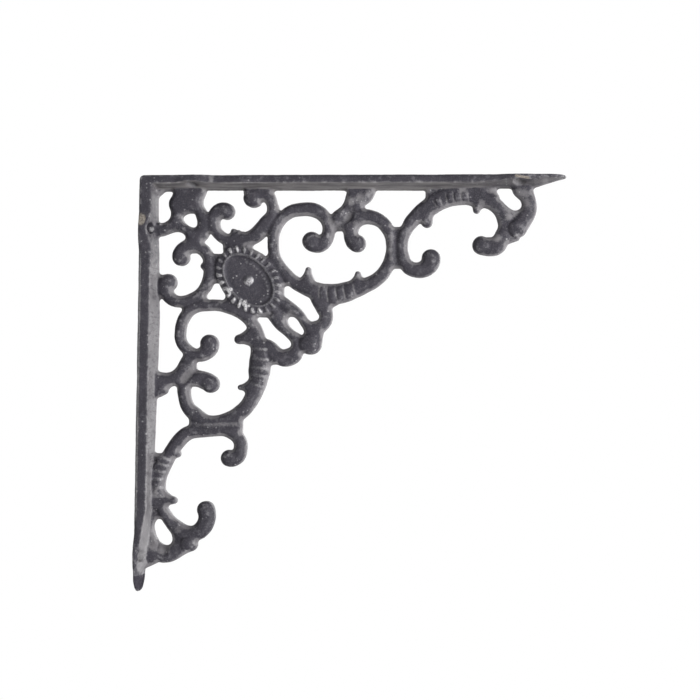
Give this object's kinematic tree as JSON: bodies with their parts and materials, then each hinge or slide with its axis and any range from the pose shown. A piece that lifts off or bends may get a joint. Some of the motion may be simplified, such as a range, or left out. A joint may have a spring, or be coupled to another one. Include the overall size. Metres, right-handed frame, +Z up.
{
  "type": "shelf bracket",
  "caption": "Ornamental cast-iron shelf bracket: two flanged legs at a right angle, filled with an openwork web of scrolls around an oval medallion; screws to a wall and under a shelf.",
  "frame": {"origin": "centre of the four wall screw holes, on the wall plane and on the bracket's mid-plane", "axes": "+X out from the wall along the shelf leg, +Z up towards the shelf, Y across the web"},
  "size_m": [0.204, 0.023, 0.2004],
  "materials": {
    "iron": "dark graphite casting with rubbed lighter edges"
  },
  "bodies": {
    "root": {"wall_leg": "iron", "shelf_leg": "iron", "corner_leaf": "iron", "medallion_petals": "iron", "medallion_rim": "iron", "medallion_plate": "iron", "medallion_boss": "iron", "left_corner_scroll": "iron", "upper_corner_scroll": "iron", "upper_left_volute": "iron", "upper_band": "iron", "upper_right_volute": "iron", "shelf_stem": "iron", "shelf_bar": "iron", "shelf_scroll": "iron", "shelf_end_scroll": "iron", "shelf_drop": "iron", "lower_upper_volute": "iron", "lower_band": "iron", "lower_lower_volute": "iron", "wall_stem": "iron", "wall_bar": "iron", "wall_scroll": "iron", "wall_end_scroll": "iron", "wall_drop": "iron", "finial_left_strand": "iron", "finial_right_strand": "iron", "finial_ball": "iron", "upper_spurs": "iron", "lower_spurs": "iron", "shelf_spurs": "iron", "wall_spurs": "iron", "corner_spurs": "iron"}
  },
  "joints": []
}
